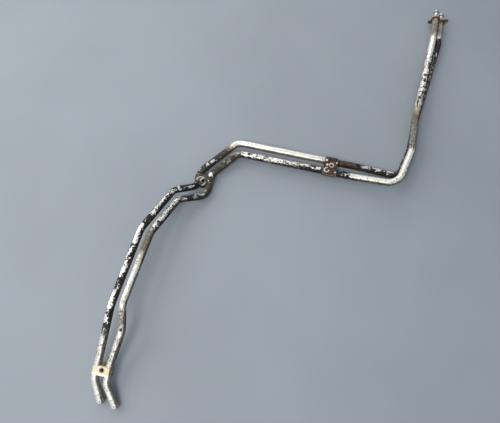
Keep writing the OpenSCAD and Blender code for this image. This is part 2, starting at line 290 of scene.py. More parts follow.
bend_flattening = 0.75
wrinkle_height, wrinkle_rate = 0.5, 1.15
dent_count, dent_length, dent_width = 16, 6.5, 4.2
dent_depth = (0.08, 0.28)
undented_end = 60
wave_height, wave_length, wave_twist = 0.05, 23, 190
ripple_height, ripple_length = 0.04, 9.1


def outer_radius(distance, side, up, bend, angle, random):
    """The outer wall's radius in mm, a row for each distance and a column for each angle.

    With t the tube's radius over the bend's and i the angle of the bend's inside, it is the
    plain radius - bend_flattening t cos 2(angle - i) + wrinkles that grow with t squared on the
    inside + the two beads' round sections + slow waves and ripples - round dents.
    """
    s = distance[:, None]
    sharpness = np.linalg.norm(bend, axis=1)[:, None] * tube_r
    inside = np.arctan2((bend * up).sum(1), (bend * side).sum(1))[:, None]
    flattening = -bend_flattening * sharpness * np.cos(2 * (angle - inside))
    on_inside = np.clip(np.cos(angle - inside), 0, 1) ** 2
    wrinkles = wrinkle_height * sharpness**2 * on_inside * np.sin(s * wrinkle_rate)
    beads = (np.sqrt(np.clip(bead_r**2 - (s - bead_setback) ** 2, 0, None))
             + np.sqrt(np.clip(tip_bead_r**2 - (s - tip_bead_setback) ** 2, 0, None)))
    waves = wave_height * np.sin(s / wave_length + random.uniform(0, 6))
    waves = waves * np.cos(2 * angle + s / wave_twist)
    waves = waves + ripple_height * np.sin(s / ripple_length + 3 * angle)
    dents = 0
    for _ in range(dent_count):
        at = random.uniform(undented_end, distance[-1] - undented_end)
        round_at = random.uniform(0, 2 * np.pi)
        off = (np.angle(np.exp(1j * (angle - round_at))) * tube_r / dent_width) ** 2
        dents = dents - random.uniform(*dent_depth) * np.exp(-off - ((s - at) / dent_length) ** 2)
    sized = np.where(s < bead_setback, hose_end_r, tube_r)
    return sized + flattening + wrinkles + beads + waves + dents


def tube_surface(corners, random):
    """A tube's whole surface: rows of points, their radii and angles, and each row's distance.

    A row's point at angle a is line + radius (side cos a + up sin a). The rows go out along the
    tube, round its end lip, back along the bore and round the first lip. The last result is
    true for the rows in the bore.
    """
    line = bent_centreline(corners)
    distance, way, side, up, bend = along_line(line)
    angle = np.linspace(0, 2 * np.pi, points_around, endpoint=False)[None, :]
    radius = outer_radius(distance, side, up, bend, angle, random)

    turn = np.linspace(0, np.pi / 2, lip_steps)
    lip_out = np.stack([lip_r * np.sin(turn), lip_r * (np.cos(turn) - 1)], -1)[1:]
    bore_r = tube_r - tube_wall
    lip_in = np.stack([lip_r * np.cos(turn), bore_r + lip_r * (1 - np.sin(turn))], -1)
    lip_in_radius = np.repeat(lip_in[:, 1:], points_around, 1)
    last, lip_rows = len(line) - 1, 2 * lip_steps - 1
    bore_rows = len(line) // rows_per_bore_row
    inner = np.unique(np.linspace(0, last, bore_rows).astype(int))[::-1]
    at_row = [np.arange(len(line)), np.full(lip_rows, last), inner, np.zeros(lip_rows, int)]
    at_row = np.concatenate(at_row)
    ahead = np.concatenate([
        np.zeros(len(line)), lip_out[:, 0] - lip_r, lip_in[:, 0] - lip_r,
        np.zeros(len(inner)), lip_r - lip_in[::-1, 0], lip_r - lip_out[::-1, 0],
    ])
    ring = np.concatenate([
        radius, radius[last] + lip_out[:, 1:], lip_in_radius,
        np.full((len(inner), points_around), bore_r), lip_in_radius[::-1],
        radius[0] + lip_out[::-1, 1:],
    ])
    centre = line[at_row] + way[at_row] * ahead[:, None]
    out = (side[at_row, None] * np.cos(angle)[..., None]
           + up[at_row, None] * np.sin(angle)[..., None])
    row = np.arange(len(at_row))[:, None]
    in_bore = (row > len(line) + lip_steps + 1) & (row < len(at_row) - lip_steps + 1)
    return centre[:, None] + out * ring[..., None], ring, angle, distance[at_row] + ahead, in_bore


def shell_mesh(name, rows):
    """A closed mesh from rows of points, each row a ring and the last joined to the first."""
    count, around = rows.shape[:2]
    mesh = bpy.data.meshes.new(name)
    here, k = np.arange(count)[:, None], np.arange(around)[None, :]
    after, k_after = (here + 1) % count, (k + 1) % around
    corners = [here * around + k, after * around + k,
               after * around + k_after, here * around + k_after]
    faces = np.stack(corners, -1).reshape(-1, 4)
    mesh.vertices.add(count * around)
    mesh.vertices.foreach_set("co", rows.reshape(-1) * mm)
    mesh.loops.add(faces.size)
    mesh.loops.foreach_set("vertex_index", faces.reshape(-1))
    mesh.polygons.add(len(faces))
    mesh.polygons.foreach_set("loop_start", np.arange(0, faces.size, 4))
    mesh.polygons.foreach_set("use_smooth", np.ones(len(faces), bool))
    mesh.update(calc_edges=True)
    return mesh


stain_names = ("grime", "rust", "tan", "dull")
kept_share = 0.92
worn_edge = 0.9
# Painted shade on each tube's right flank, a little below level, reaching further round near the
# hose end.
shade_below, shade_from, shade_edge = 10, 0.26, 0.45
hose_end_reach, hose_end_fade, hose_end_shade = 200, 60, 0.3


def bent_tube(name, corners, wear, spots, worn_up_to, seed):
    """A tube's mesh, with its wear and its shape before bending as attributes.

    unbent = (radius cos a, radius sin a, distance), so patterns follow the tube. paint is how
    much is left: worn between the angles worn_from and worn_up_to, kept elsewhere, less the
    spots, each e^-(turn^4 + length^4) times what is lost in it. painted_shade is painted shade
    on the flank that looks right and a little down, and it is wider near the hose end.
    """
    rows, ring, angle, distance, in_bore = tube_surface(corners, np.random.default_rng(seed))
    mesh = shell_mesh(name, rows)
    s = distance[:, None]
    unbent = [ring * np.cos(angle), ring * np.sin(angle), np.repeat(s, points_around, 1)]
    unbent = np.stack(unbent, -1).ravel() * mm
    mesh.attributes.new("unbent", "FLOAT_VECTOR", "POINT").data.foreach_set("vector", unbent)

    wear_at = {key: np.interp(distance, wear["at"], wear[key])[:, None] for key in wear}
    worn_from, worn_to = np.radians(wear_at["worn_from"]), np.radians(worn_up_to)
    half = (worn_to - worn_from) / 2
    off_worn = np.abs(np.angle(np.exp(1j * (angle - worn_from - half))))
    worn = np.clip((half - off_worn) / worn_edge + 0.5, 0, 1)
    paint = kept_share * wear_at["kept"] * (1 - worn) + wear_at["worn"] * worn
    for at, round_at, half_length, half_turn, lost in spots:
        off = np.angle(np.exp(1j * (angle - np.radians(round_at)))) / np.radians(half_turn)
        paint = paint - lost * np.exp(-off**4 - ((s - at) / half_length) ** 4)
    hose_end = np.clip((hose_end_reach - s) / hose_end_fade, 0, 1)
    # Painted shade: the flank that faces right and a little down is marked to be darkened, more
    # near the hose end.
    painted_shade = np.cos(angle + np.radians(shade_below)) - shade_from + hose_end_shade * hose_end
    shown = {"paint": paint, "painted_shade": np.clip(painted_shade / shade_edge, 0, 1), "in_bore": in_bore}
    shown.update({key: wear_at[key] for key in stain_names})
    for key, value in shown.items():
        full = np.broadcast_to(value, ring.shape).astype(np.float32)
        mesh.attributes.new(key, "FLOAT", "POINT").data.foreach_set("value", full.ravel())
    return mesh


polished, dulled, mottled = rgb(252, 248, 238), rgb(178, 176, 167), rgb(178, 166, 144)
white_corrosion = rgb(244, 242, 235)
tan_stain = rgb(146, 128, 98)
rust_dark, rust_light = rgb(72, 50, 39), rgb(116, 85, 66)
tar_specks = rgb(54, 48, 42)
# The colour of the painted shade on the tubes' right flanks.
painted_shade_colour = rgb(56, 53, 47)
scuffed_black = rgb(44, 41, 38)
mud_dark, mud_light = rgb(58, 53, 43), rgb(84, 75, 60)
# The colour of the painted shade inside the tubes' bores.
painted_bore_shade = rgb(44, 42, 40)


def flaking_tube_finish(name, metal_tint, paint_tint):
    """Aluminium under flaking black paint: bare metal, then corrosion, stains, paint and grime.

    Paint stays where its share, less a half, plus the noises of big patches, flakes and chips
    is over 0, and white corrosion lines its edge. Painted shade darkens the right flank and the
    bore. Noise scales are per metre of unbent tube.
    """
    finish = Finish(name)
    unbent = finish.attribute("unbent", "Vector")
    paint_left = finish.attribute("paint")
    patches = finish.noise(finish.stretched(unbent, (1.0, 1.0, 0.62)), 175, 5, 0.62, 0.8)
    flakes = finish.noise(finish.stretched(unbent, (1.0, 1.0, 0.7)), 380, 5, 0.7, 0.4)
    chips = finish.noise(unbent, 900, 4, 0.65)
    broken = (patches - 0.5) * 2.9 + (flakes - 0.5) * 1.5 + (chips - 0.5) * 0.6
    cover = (paint_left - 0.5) * 0.95 + broken
    paint = cover.step(-0.02, 0.03)
    corroded = cover.step(-0.30, -0.02) * (1 - paint)

    drawn = finish.noise(finish.stretched(unbent, (1.0, 1.0, 0.03)), 1900, 3, 0.6)
    clouds = finish.noise(unbent, 75, 5, 0.6)
    dull_share = finish.attribute("dull")
    dull = (dull_share + (clouds - 0.5) * 1.1).step(0.25, 0.85)
    bright = finish.blend(drawn.step(0.3, 0.7), metal_tint, polished)
    metal = finish.blend(dull * 0.9, bright, dulled)
    mottles = finish.noise(unbent, 290, 4, 0.65, 0.6).step(0.50, 0.64)
    metal = finish.blend(mottles * 0.42, metal, mottled)
    powder = finish.noise(unbent, 1400, 3, 0.7).step(0.42, 0.62)
    metal = finish.blend(corroded * (0.4 + powder * 0.5), metal, white_corrosion)

    specks = finish.noise(unbent, 430, 3, 0.6).step(0.53, 0.60) * dull_share * 1.7
    tan_share = finish.attribute("tan")
    blots = (finish.noise(unbent, 210, 5, 0.7, 0.8) + tan_share * 0.3).step(0.52, 0.72)
    tan = (tan_share * 1.5 * blots + tan_share * 0.2).step(0.0, 1.0)
    rust = (finish.attribute("rust") + (clouds - 0.5) * 0.9).step(0.15, 0.8)
    soiled = finish.blend(tan * 0.75, metal, tan_stain)
    soiled = finish.blend(rust, soiled, finish.blend(chips, rust_dark, rust_light))
    soiled = finish.blend(specks, soiled, tar_specks)

    # Painted shade: the right flank is darkened, broken up by clouds and flakes, and made less
    # metallic.
    painted_shade = finish.attribute("painted_shade") * 0.8 + (clouds - 0.5) * 0.9 + (flakes - 0.5) * 0.6
    painted_shade = painted_shade.step(0.15, 0.85)
    soiled = finish.blend(painted_shade * 0.88, soiled, painted_shade_colour)
    black = finish.blend(chips.step(0.4, 0.75), paint_tint, scuffed_black)
    layered = finish.blend(paint, soiled, black)
    film = (finish.attribute("grime") + (clouds - 0.5) * 0.8 + (chips - 0.5) * 0.5).step(0.2, 1.0)
    mud = finish.blend(patches.step(0.35, 0.65), mud_dark, mud_light)
    layered = finish.blend(film * 0.85, layered, mud)
    # Painted shade: the bore is coloured dark.
    colour = finish.blend(finish.attribute("in_bore"), layered, painted_bore_shade)

    bare = (1 - paint) * (1 - rust) * (1 - tan * 0.7) * (1 - film * 0.8) * (1 - painted_shade * 0.4)
    metallic = bare * (0.66 - corroded * 0.42 - dull * 0.3 - mottles * 0.12)
    roughness = 0.36 + dull * 0.18 + mottles * 0.06 + corroded * 0.15
    roughness = roughness + rust * 0.3 + film * 0.25 + paint * 0.1
    relief = paint * 0.55 + powder * corroded * 0.15 + drawn * 0.05
    relief = relief + chips * 0.12 + rust * chips * 0.4
    gloss = {"Specular IOR Level": 0.28}
    return finish.done(colour, roughness, metallic, relief, 0.00035, **gloss)


def show(mesh, material, slot, body, *stands_for):
    """Puts a finished mesh in the scene, on its body and in place of its plain solids."""
    mesh.materials.clear()
    mesh.materials.append(material)
    piece = bpy.data.objects.new(mesh.name, mesh)
    scene.collection.objects.link(piece)
    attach(piece, body)
    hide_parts(*stands_for)
    return piece


def wear_table(rows):
    """Columns by name from rows of wear along a tube, first the distance from its hose end, mm.

    worn is the paint left on the worn side, which begins at the angle worn_from, and kept is
    that left on the rest. Angles are in degrees: 0 is right of the way, 90 is up.
    """
    names = ("at", "worn", "kept", "worn_from", *stain_names)
    return {key: np.array(column, float) for key, column in zip(names, zip(*rows))}


# The feed tube, the left one at the hose end and the inner one at the elbow. It keeps most of its
# paint below, has lost it in strips above, and is bare and bright along the first half of the run.
feed_wear = wear_table([
    # at, worn, kept, from, grime, rust, tan, dull
    (0, 0.00, 0.10, 60, 0.00, 0.00, 0.00, 0.08),
    (55, 0.00, 0.15, 60, 0.00, 0.00, 0.00, 0.12),
    (80, 0.10, 0.20, 60, 0.05, 0.00, 0.20, 0.34),
    (140, 0.22, 0.35, 60, 0.15, 0.00, 0.30, 0.40),
    (152, 0.35, 0.70, 70, 0.65, 0.20, 0.20, 0.50),
    (166, 0.85, 1.00, 80, 0.40, 0.10, 0.00, 0.50),
    (172, 0.24, 1.00, 85, 0.10, 0.00, 0.00, 0.15),
    (186, 0.28, 1.00, 85, 0.10, 0.00, 0.00, 0.15),
    (192, 0.55, 1.00, 85, 0.15, 0.00, 0.00, 0.20),
    (198, 0.20, 1.00, 85, 0.05, 0.00, 0.00, 0.12),
    (232, 0.22, 1.00, 82, 0.05, 0.00, 0.00, 0.12),
    (244, 0.60, 1.00, 82, 0.25, 0.15, 0.00, 0.30),
    (260, 0.80, 1.00, 82, 0.25, 0.15, 0.00, 0.30),
    (268, 0.26, 1.00, 85, 0.10, 0.00, 0.00, 0.15),
    (322, 0.30, 1.00, 88, 0.10, 0.00, 0.00, 0.15),
    (336, 0.80, 1.00, 90, 0.10, 0.00, 0.00, 0.20),
    (346, 0.24, 1.00, 85, 0.05, 0.00, 0.00, 0.12),
    (386, 0.24, 1.00, 85, 0.05, 0.00, 0.00, 0.12),
    (394, 1.00, 1.00, 85, 0.05, 0.00, 0.00, 0.20),
    (412, 1.00, 1.00, 85, 0.10, 0.00, 0.00, 0.20),
    (420, 0.34, 1.00, 88, 0.05, 0.00, 0.00, 0.15),
    (478, 0.34, 1.00, 88, 0.05, 0.00, 0.00, 0.15),
    (490, 0.46, 0.95, 88, 0.10, 0.00, 0.00, 0.20),
    (506, 0.56, 0.90, 88, 0.10, 0.00, 0.00, 0.30),
    (514, 1.00, 1.00, 88, 0.05, 0.00, 0.00, 0.30),
    (553, 1.00, 1.00, 88, 0.25, 0.10, 0.00, 0.50),
    (575, 0.85, 1.00, 80, 0.75, 0.10, 0.10, 0.60),
    (592, 0.85, 1.00, 80, 0.60, 0.10, 0.10, 0.50),
    (604, 1.00, 1.00, 80, 0.50, 0.10, 0.05, 0.50),
    (638, 1.00, 1.00, 80, 0.50, 0.15, 0.05, 0.40),
    (656, 0.95, 1.00, 70, 0.75, 0.20, 0.15, 0.50),
    (666, 0.60, 1.00, 60, 0.80, 0.15, 0.50, 0.50),
    (680, 0.15, 0.85, 45, 0.35, 0.10, 0.70, 0.40),
    (694, 0.02, 0.05, 30, 0.05, 0.00, 0.05, 0.12),
    (884, 0.02, 0.05, 30, 0.00, 0.00, 0.00, 0.10),
    (902, 0.05, 0.30, 30, 0.05, 0.00, 0.12, 0.15),
    (914, 0.10, 0.60, 60, 0.35, 0.15, 0.40, 0.40),
    (926, 0.50, 0.80, 80, 0.45, 0.95, 0.30, 0.50),
    (960, 0.36, 0.72, 80, 0.25, 1.15, 0.10, 0.50),
    (996, 0.40, 0.80, 80, 0.25, 1.05, 0.05, 0.50),
    (1008, 0.56, 1.00, 86, 0.15, 0.30, 0.00, 0.25),
    (1024, 0.74, 0.98, 86, 0.25, 0.40, 0.00, 0.25),
    (1034, 0.55, 1.00, 86, 0.15, 0.30, 0.00, 0.20),
    (1078, 0.58, 1.00, 88, 0.15, 0.30, 0.00, 0.20),
    (1090, 0.95, 1.00, 85, 0.45, 0.20, 0.00, 0.40),
    (1160, 0.90, 1.00, 85, 0.40, 0.15, 0.05, 0.40),
    (1240, 0.85, 1.00, 60, 0.45, 0.20, 0.30, 0.60),
    (1290, 0.80, 0.90, 60, 0.42, 0.10, 0.10, 0.45),
    (1400, 0.74, 0.84, 60, 0.50, 0.10, 0.05, 0.55),
    (1446, 0.72, 0.80, 60, 0.50, 0.10, 0.05, 0.60),
    (1458, 1.00, 1.00, 50, 0.10, 0.05, 0.00, 0.30),
    (1488, 1.00, 1.00, 50, 0.10, 0.05, 0.00, 0.30),
    (1500, 0.55, 0.70, 20, 0.15, 0.05, 0.00, 0.35),
    (1514, 0.10, 0.40, 20, 0.65, 0.05, 0.10, 0.95),
    (1546, 0.10, 0.40, 20, 0.55, 0.40, 0.70, 0.80),
])
feed_spots = [
    # at, angle, half length, half angle, paint lost
    (174, 105, 8, 40, 0.25), (215, 108, 20, 42, 0.2), (249, 105, 6, 30, -0.3),
    (285, 100, 14, 40, 0.15), (330, 100, 8, 35, 0.15), (350, 82, 9, 45, 0.45),
    (376, 108, 12, 32, 0.25), (424, 95, 4, 40, 0.3),
    (489, 62, 3, 22, 0.9), (509, 95, 4, 55, 0.55), (534, 70, 6, 28, 0.55), (532, 120, 4, 30, -0.3),
    (612, 98, 3.4, 24, 1.3), (622, 84, 2.4, 18, 1.2), (628, 84, 3.2, 18, 1.2),
    (590, 110, 4, 25, 0.6), (676, 62, 5, 30, 0.7), (776, 152, 3, 16, -1.2),
    (862, 150, 2.4, 14, -1.2), (900, 158, 4, 14, -1.0),
    (1015, 108, 7, 32, 0.34), (1040, 105, 9, 32, 0.34), (1070, 106, 9, 30, 0.34),
    (1503, 120, 7, 40, 0.7),
]
feed_metal, feed_black = rgb(241, 236, 223), rgb(18, 17, 17)
feed_mesh = bent_tube("feed_tube", feed_corners, feed_wear, feed_spots,
                      worn_up_to=143, seed=11)
show(feed_mesh, flaking_tube_finish("feed_tube_finish", feed_metal, feed_black),
     "feed_tube", "pipes", "feed_pipe")

# The return tube, the right one at the hose end, which crosses over the feed tube after the elbow.
# Less of its paint is left, and white corrosion, brown grime and a tan stain show along it.
return_wear = wear_table([
    # at, worn, kept, from, grime, rust, tan, dull
    (0, 0.03, 0.10, 50, 0.00, 0.00, 0.00, 0.14),
    (60, 0.03, 0.15, 50, 0.00, 0.00, 0.00, 0.20),
    (85, 0.16, 0.25, 50, 0.08, 0.00, 0.20, 0.42),
    (125, 0.24, 0.35, 50, 0.10, 0.00, 0.25, 0.45),
    (165, 0.16, 0.25, 50, 0.20, 0.05, 0.20, 0.35),
    (178, 0.24, 0.45, 50, 0.60, 0.05, 0.20, 0.80),
    (206, 0.26, 0.50, 50, 0.60, 0.05, 0.15, 0.80),
    (216, 0.12, 0.20, 45, 0.18, 0.00, 0.30, 0.36),
    (256, 0.09, 0.25, 45, 0.12, 0.00, 0.25, 0.28),
    (290, 0.08, 0.30, 45, 0.12, 0.00, 0.20, 0.20),
    (320, 0.22, 0.50, 45, 0.50, 0.05, 0.45, 0.35),
    (350, 0.20, 0.60, 50, 0.88, 0.20, 0.40, 0.60),
    (380, 0.40, 0.80, 60, 0.88, 0.15, 0.20, 0.70),
    (398, 0.50, 0.80, 70, 0.20, 0.00, 0.00, 0.40),
    (408, 0.38, 0.85, 75, 0.15, 0.00, 0.00, 0.40),
    (440, 0.42, 0.85, 75, 0.20, 0.00, 0.00, 0.45),
    (456, 0.55, 0.80, 70, 0.25, 0.00, 0.00, 0.40),
    (476, 0.40, 0.85, 70, 0.20, 0.00, 0.00, 0.50),
    (490, 0.52, 0.75, 70, 0.25, 0.00, 0.00, 0.75),
    (535, 0.56, 0.85, 70, 0.30, 0.00, 0.00, 0.80),
    (548, 0.70, 0.90, 70, 0.60, 0.10, 0.00, 0.60),
    (586, 0.60, 0.90, 70, 0.85, 0.05, 0.00, 0.60),
    (591, 0.05, 0.60, 75, 0.10, 0.00, 0.00, 0.00),
    (600, 0.05, 0.80, 80, 0.10, 0.00, 0.00, 0.00),
    (606, 0.90, 0.95, 70, 0.70, 0.10, 0.00, 0.60),
    (640, 0.85, 0.95, 60, 0.75, 0.10, 0.05, 0.60),
    (666, 0.75, 0.90, 60, 0.65, 0.05, 0.05, 0.50),
    (688, 0.50, 0.80, 50, 0.55, 0.05, 0.10, 0.50),
    (702, 0.34, 0.65, 50, 0.15, 0.00, 0.10, 0.25),
    (760, 0.36, 0.70, 55, 0.10, 0.00, 0.10, 0.24),
    (820, 0.40, 0.80, 60, 0.08, 0.00, 0.05, 0.24),
    (850, 0.42, 0.92, 72, 0.08, 0.00, 0.00, 0.20),
    (872, 0.56, 0.95, 85, 0.15, 0.00, 0.00, 0.20),
    (890, 0.90, 1.00, 60, 0.25, 0.20, 0.00, 0.30),
    (925, 0.85, 0.97, 50, 0.20, 0.20, 0.00, 0.20),
    (948, 0.74, 0.92, 50, 0.15, 0.10, 0.00, 0.20),
    (958, 0.12, 0.60, 50, 0.05, 0.00, 0.00, 0.08),
    (1080, 0.10, 0.60, 45, 0.08, 0.00, 0.00, 0.12),
    (1090, 0.18, 0.60, 45, 0.15, 0.05, 0.05, 0.30),
    (1145, 0.10, 0.60, 45, 0.10, 0.00, 0.00, 0.15),
    (1156, 0.46, 0.85, 45, 0.70, 0.00, 0.00, 0.80),
    (1172, 0.26, 0.70, 45, 0.82, 0.00, 0.05, 0.95),
    (1228, 0.12, 0.60, 45, 0.82, 0.00, 0.10, 0.95),
    (1244, 0.12, 0.60, 45, 0.65, 0.10, 0.95, 0.60),
    (1262, 0.16, 0.70, 45, 0.25, 0.10, 0.95, 0.40),
    (1276, 0.46, 0.95, 42, 0.10, 0.00, 0.30, 0.25),
    (1400, 0.47, 1.00, 42, 0.08, 0.00, 0.05, 0.20),
    (1440, 0.28, 0.95, 42, 0.05, 0.00, 0.00, 0.15),
    (1452, 0.04, 0.80, 42, 0.05, 0.00, 0.00, 0.15),
    (1482, 0.02, 0.60, 42, 0.10, 0.00, 0.05, 0.40),
    (1500, 0.02, 0.60, 30, 0.68, 0.00, 0.10, 0.98),
    (1524, 0.02, 0.40, 30, 0.70, 0.05, 0.20, 0.98),
    (1540, 0.02, 0.30, 30, 0.55, 0.25, 0.70, 0.80),
])
return_spots = [
    # at, angle, half length, half angle, paint lost
    (170, 78, 2.6, 18, -1.0), (477, 85, 7, 40, 0.15), (497, 110, 6, 28, -0.35),
    (512, 75, 8, 30, -0.35), (530, 100, 5, 26, -0.35), (521, 70, 5, 26, 0.15),
    (595, 128, 4.5, 34, 1.4), (598, 95, 3, 28, 1.0), (643, 122, 2.5, 20, 1.0),
    (652, 55, 5, 22, 0.9), (672, 140, 6, 20, 0.8), (696, 105, 6, 36, 0.6),
    (850, 60, 6, 26, -0.5), (862, 120, 5, 24, -0.4), (875, 95, 7, 30, 0.5), (884, 60, 4, 22, -0.5),
    (938, 74, 7, 26, 0.2), (951, 98, 5, 24, 0.26),
    (1158, 100, 5, 30, -0.3), (1300, 70, 5, 26, -0.4), (1345, 95, 6, 24, -0.4),
    (1392, 70, 8, 24, -0.4),
    (1460, 110, 18, 60, 0.5),
]
return_metal, return_black = rgb(241, 236, 222), rgb(24, 23, 22)
return_mesh = bent_tube("return_tube", return_corners, return_wear, return_spots,
                        worn_up_to=230, seed=23)
show(return_mesh, flaking_tube_finish("return_tube_finish", return_metal, return_black),
     "return_tube", "pipes", "return_pipe")

# The turned ends that plug into the engine's ports: aluminium, drilled through and cut with a
# seal groove, with a collar behind it whose socket is glued over the tube. They have dulled, and
# rust from the flange has tinted them.
collar_r, collar_length = 8.8, 8.0
collar_line, collar_line_depth = (2.6, 3.0, 3.8, 4.2), 0.35
socket_r, socket_depth = 8.05, 6.0
spigot_r, spigot_length, spigot_bore_r = 6.5, 26.0, 3.8
fillet_r, fillet_top = spigot_r + 0.5, 8.6
tip_chamfer, tip_chamfer_from = 1, 24.6
groove_middle, groove_half, groove_r = 18.0, 1.4, 5.0
cut_edge = 0.3
lathe_points = 96
collar_y = 535.0
feed_end = (309.0, collar_y, 11.58)
return_end = (292.577, collar_y, 20.312)


def eased(corners, reach, points=5, most=0.45):
    """A closed outline whose corners are cut by curves that begin up to reach mm before each.

    With a and b the steps from corner P towards its neighbours, each at most that share of a
    side, the curve's points are (1-t)^2 (P + a) + 2 t (1-t) P + t^2 (P + b), t from 0 to 1.
    """
    corners = np.array(corners, float)
    curves = 0
    t = np.linspace(0, 1, points)[None, :, None]
    for turn, weight in ((1, (1 - t) ** 2), (-1, t**2)):
        step = np.roll(corners, turn, 0) - corners
        length = np.linalg.norm(step, axis=1, keepdims=True)
        step = step / length * np.minimum(reach, most * length)
        curves = curves + weight * (corners + step)[:, None]
    return (curves + 2 * t * (1 - t) * corners[:, None]).reshape(-1, 2)


def turned(name, outline, centre, side, axis):
    """A lathe-turned piece, its closed outline of (radius, height) swung round an axis.

    With up = side x axis, the point at angle a is
    centre + axis height + radius (side cos a + up sin a).
    """
    radius, height = np.asarray(outline, float).T
    if (radius * np.roll(height, -1) - np.roll(radius, -1) * height).sum() < 0:
        radius, height = radius[::-1], height[::-1]
    angle = np.linspace(0, 2 * np.pi, lathe_points, endpoint=False)[None, :, None]
    spokes = np.array(side) * np.cos(angle) + np.cross(side, axis) * np.sin(angle)
    up_axis = np.array(centre) + np.array(axis) * height[:, None, None]
    return shell_mesh(name, up_axis + spokes * radius[:, None, None])


groove_low, groove_high = groove_middle - groove_half, groove_middle + groove_half
line_r = collar_r - collar_line_depth
spigot_outline = eased([
    (socket_r, 0), (collar_r, 0), (collar_r, collar_line[0]), (line_r, collar_line[1]),
    (line_r, collar_line[2]), (collar_r, collar_line[3]), (collar_r, collar_length),
    (fillet_r, collar_length), (spigot_r, fillet_top), (spigot_r, groove_low),
    (groove_r, groove_low), (groove_r, groove_high), (spigot_r, groove_high),
    (spigot_r, tip_chamfer_from), (spigot_r - tip_chamfer, spigot_length),
    (spigot_bore_r, spigot_length), (spigot_bore_r, socket_depth), (socket_r, socket_depth),
], cut_edge)
turned_grey, turned_bright = rgb(168, 170, 170), rgb(208, 210, 210)
oxide_grey, pit_brown = rgb(140, 139, 134), rgb(70, 58, 50)
rust_tint_dark, rust_tint_light = rgb(124, 96, 84), rgb(186, 160, 146)
rust_tint_from, rust_tint_to = 0.5505, 0.535


def turned_metal_finish():
    """Dulled aluminium with lathe rings and dark pits, tinted by rust near the flange."""
    finish = Finish("turned_metal_finish")
    at = finish.place()
    rings = finish.noise(finish.stretched(at, (0.02, 1.0, 0.02)), 2600, 3, 0.6)
    clouds = finish.noise(at, 240, 5, 0.65)
    chips = finish.noise(at, 900, 4, 0.65)
    along = finish.node("ShaderNodeSeparateXYZ", None, {0: at}, output=1)
    near_flange = 1 - along.step(rust_tint_to, rust_tint_from)
    rust = (near_flange + (clouds - 0.5) * 1.1).step(0.25, 0.95)
    oxide = clouds.step(0.42, 0.66)
    metal = finish.blend(rings.step(0.3, 0.7), turned_grey, turned_bright)
    metal = finish.blend(oxide * 0.7, metal, oxide_grey)
    rust_tint = finish.blend(chips, rust_tint_dark, rust_tint_light)
    metal = finish.blend(rust * 0.8, metal, rust_tint)
    pits = chips.step(0.66, 0.72)
    metal = finish.blend(pits * 0.7, metal, pit_brown)
    bare = (1 - rust * 0.7) * (1 - oxide * 0.4)
    relief = rings * 0.25 + chips * 0.3 + rust * chips * 0.5 - pits * 0.4
    return finish.done(metal, 0.40 + oxide * 0.16 + rust * 0.3, bare * 0.85, relief, 0.00022)


turned_metal = turned_metal_finish()
across, along_leg = (1, 0, 0), (0, 1, 0)
for name, end in (("feed_spigot", feed_end), ("return_spigot", return_end)):
    turned_end = turned(name + "_turned", spigot_outline, end, across, along_leg)
    show(turned_end, turned_metal, "spigot_metal", "pipes", name)

# The O-rings that seal the spigots in their ports: black moulded rubber, stretched into the
# grooves, with a faint moulding line round the outside and dust on it.
ring_section_r = 1.0
ring_middle_r = 6.02
ring_points = 32
flash_height, flash_width = 0.05, 0.12
rubber_dark, rubber_light = rgb(24, 24, 25), rgb(38, 37, 36)
rubber_dust, rubber_scuff = rgb(98, 94, 86), rgb(70, 68, 66)


def rubber_finish():
    """Black rubber with a fine grain, dust and scuffs."""
    finish = Finish("rubber_finish")
    at = finish.place()
    dust = (finish.noise(at, 420, 5, 0.7) - 0.1).step(0.35, 0.62)
    grain = finish.noise(at, 2600, 3, 0.6)
    scuffs = finish.noise(finish.stretched(at, (1, 0.3, 1)), 1100, 3, 0.5).step(0.6, 0.7)
    rubber = finish.blend(grain, rubber_dark, rubber_light)
    rubber = finish.blend(dust * 0.55, rubber, rubber_dust)
    rubber = finish.blend(scuffs * 0.4, rubber, rubber_scuff)
    return finish.done(rubber, 0.48 + dust * 0.35, 0.0, grain + scuffs * 0.5, 0.00008)


rubber = rubber_finish()
# An O-ring's section is a circle with a narrow bump at its outside, the moulding line.
section = np.linspace(0, 2 * np.pi, ring_points, endpoint=False)
flash = flash_height * np.exp(-(np.sin(section) / flash_width) ** 2) * (np.cos(section) > 0)
ring_outline = np.stack([ring_middle_r + (ring_section_r + flash) * np.cos(section),
                         groove_middle + (ring_section_r + flash) * np.sin(section)], -1)
for name, end in (("feed_o_ring", feed_end), ("return_o_ring", return_end)):
    rubber_ring = turned(name + "_moulded", ring_outline, end, across, along_leg)
    show(rubber_ring, rubber, "o_ring_rubber", "pipes", name)

# The flange that holds both spigots in their ports, with a bolt ear on each side. It is cut
# from 4 mm steel plate, slides loose on the two tubes behind their collars, and has rusted right
# through its plating into a coarse brown scale.
weld_distance = 2e-6
flat_within = 0.012
edge_from, edge_steps = np.radians(38), 3
flange_edge = 0.45


